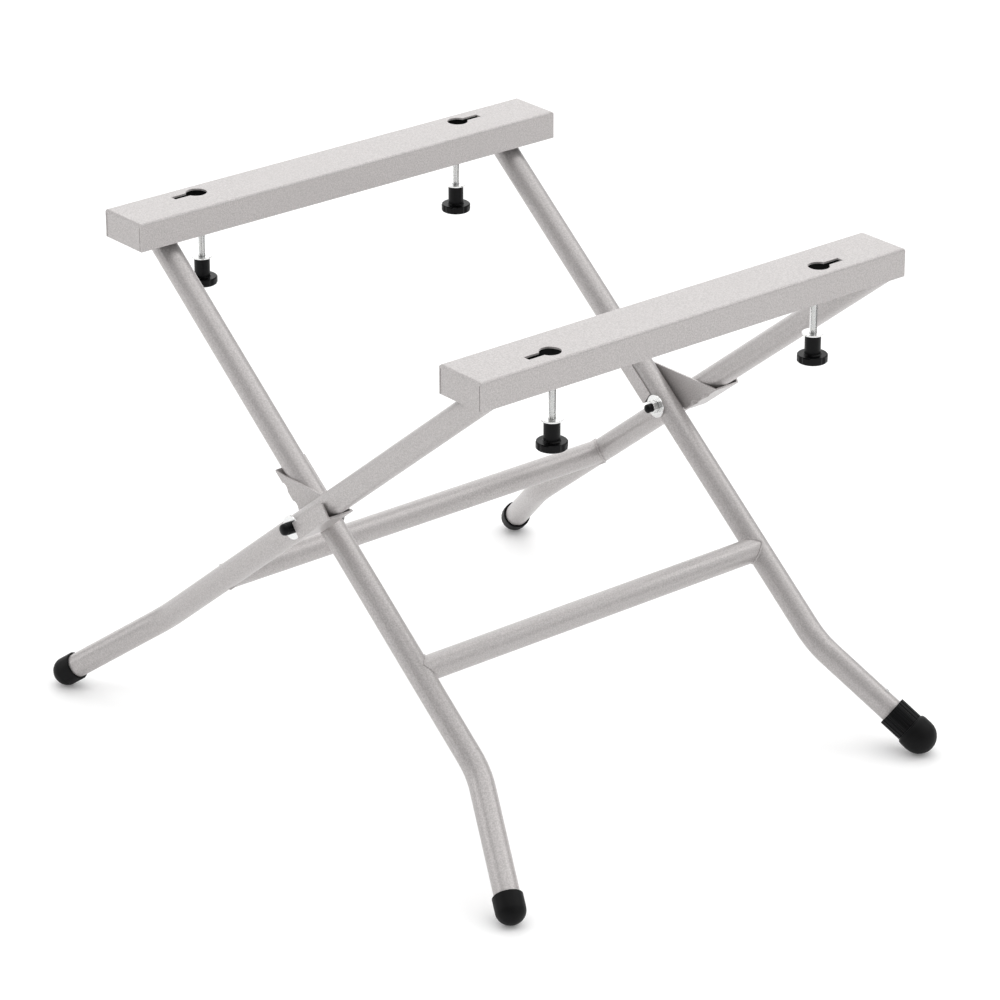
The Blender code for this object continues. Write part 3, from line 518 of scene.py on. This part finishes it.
# Name, direction the light comes from, strength, and angular width in degrees.
FAR_LIGHTS = (
    ("rear_light", (0.30, 0.68, 0.66), 0.6, 40),
    ("front_left_light", (-0.60, -0.66, 0.44), 0.5, 40),
    ("right_light", (0.85, 0.25, 0.45), 0.35, 40),
    ("rear_left_light", (-0.74, 0.48, 0.47), 1.35, 75),
    ("top_light", (0.0, 0.0, 1.0), 0.9, 60))
FLOOR_SIZE = 60.0
FLOOR_GLOW = 0.1    # lifts the paper to white where the lights alone leave it grey


def add_camera():
    right = Vector((math.cos(AZIMUTH), math.sin(AZIMUTH), 0.0))
    back = Vector((math.sin(AZIMUTH) * math.cos(ELEVATION),
                   -math.cos(AZIMUTH) * math.cos(ELEVATION), math.sin(ELEVATION)))
    up = back.cross(right)
    camera = bpy.data.objects.new("camera", bpy.data.cameras.new("camera"))
    bpy.context.scene.collection.objects.link(camera)
    camera.data.lens = LENS
    camera.data.sensor_width = SENSOR
    camera.data.clip_start = 0.1
    camera.data.clip_end = 50.0
    place = AIM + right * AIM_SHIFT[0] + up * AIM_SHIFT[1] + back * CAMERA_DISTANCE
    turn = Matrix((right, up, back)).transposed().to_4x4()
    camera.matrix_world = Matrix.Translation(place) @ turn
    bpy.context.scene.camera = camera


def add_far_light(name, towards, strength, spread):
    """A wide, distant, even light."""
    light = bpy.data.lights.new(name, "SUN")
    light.energy = strength
    light.angle = math.radians(spread)
    obj = bpy.data.objects.new(name, light)
    bpy.context.scene.collection.objects.link(obj)
    obj.matrix_world = Vector(towards).to_track_quat("Z", "Y").to_matrix().to_4x4()


def add_studio():
    world = bpy.data.worlds.new("studio")
    world.use_nodes = True
    background = world.node_tree.nodes["Background"]
    background.inputs["Color"].default_value = linear("#FFFFFF")
    background.inputs["Strength"].default_value = WORLD_STRENGTH
    bpy.context.scene.world = world
    bpy.context.scene.view_settings.view_transform = "Standard"
    for far_light in FAR_LIGHTS:
        add_far_light(*far_light)
    bpy.ops.mesh.primitive_plane_add(size=FLOOR_SIZE)
    floor = bpy.context.object
    floor.name = "floor"
    material, _, shader, _ = start_material("paper_sweep")
    shader.inputs["Base Color"].default_value = linear("#F7F7F7")
    shader.inputs["Roughness"].default_value = 0.9
    shader.inputs["Emission Color"].default_value = linear("#FFFFFF")
    shader.inputs["Emission Strength"].default_value = FLOOR_GLOW
    floor.data.materials.append(material)


finish_all()
add_camera()
add_studio()
